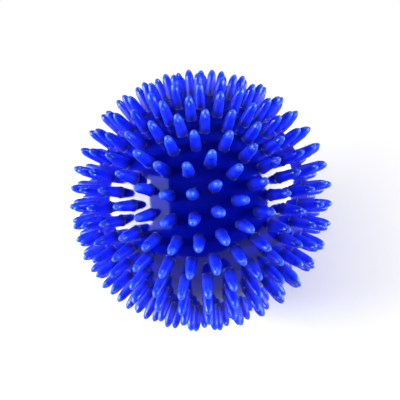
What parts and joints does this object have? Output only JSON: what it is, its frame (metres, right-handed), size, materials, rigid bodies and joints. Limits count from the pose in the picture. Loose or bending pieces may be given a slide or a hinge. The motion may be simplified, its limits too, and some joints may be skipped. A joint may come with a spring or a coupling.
{
  "type": "massage ball",
  "caption": "Round hollow massage ball with a glossy blue skin, rows of blunt radial spikes all over it, and a push-in valve plug.",
  "frame": {"origin": "the centre of the ball", "axes": "+Z runs through the spike at the pole of the spike rings, +Y runs out through the valve, and +X completes the right-handed frame"},
  "size_m": [0.1, 0.0993, 0.1],
  "materials": {
    "ball_pvc": "glossy moulded soft plastic",
    "valve_pvc": "satin moulded soft plastic"
  },
  "bodies": {
    "ball": {"ball_skin": "ball_pvc", "top_spike": "ball_pvc", "spike_ring_01": "ball_pvc", "spike_ring_02": "ball_pvc", "spike_ring_03": "ball_pvc", "spike_ring_04": "ball_pvc", "spike_ring_05": "ball_pvc", "spike_ring_06": "ball_pvc", "spike_ring_07": "ball_pvc", "spike_ring_08": "ball_pvc", "spike_ring_09": "ball_pvc", "spike_ring_10": "ball_pvc", "spike_ring_11": "ball_pvc", "spike_ring_12": "ball_pvc", "spike_ring_13": "ball_pvc", "spike_ring_14": "ball_pvc", "spike_ring_15": "ball_pvc", "spike_ring_16": "ball_pvc", "spike_ring_17": "ball_pvc", "bottom_spike": "ball_pvc", "valve_seat": "valve_pvc"},
    "plug": {"valve_plug": "valve_pvc"}
  },
  "joints": [
    {"name": "plug_pull", "type": "slide", "parent": "ball", "child": "plug", "axis": [0, 1, 0], "range_m": [0, 0.012]}
  ]
}
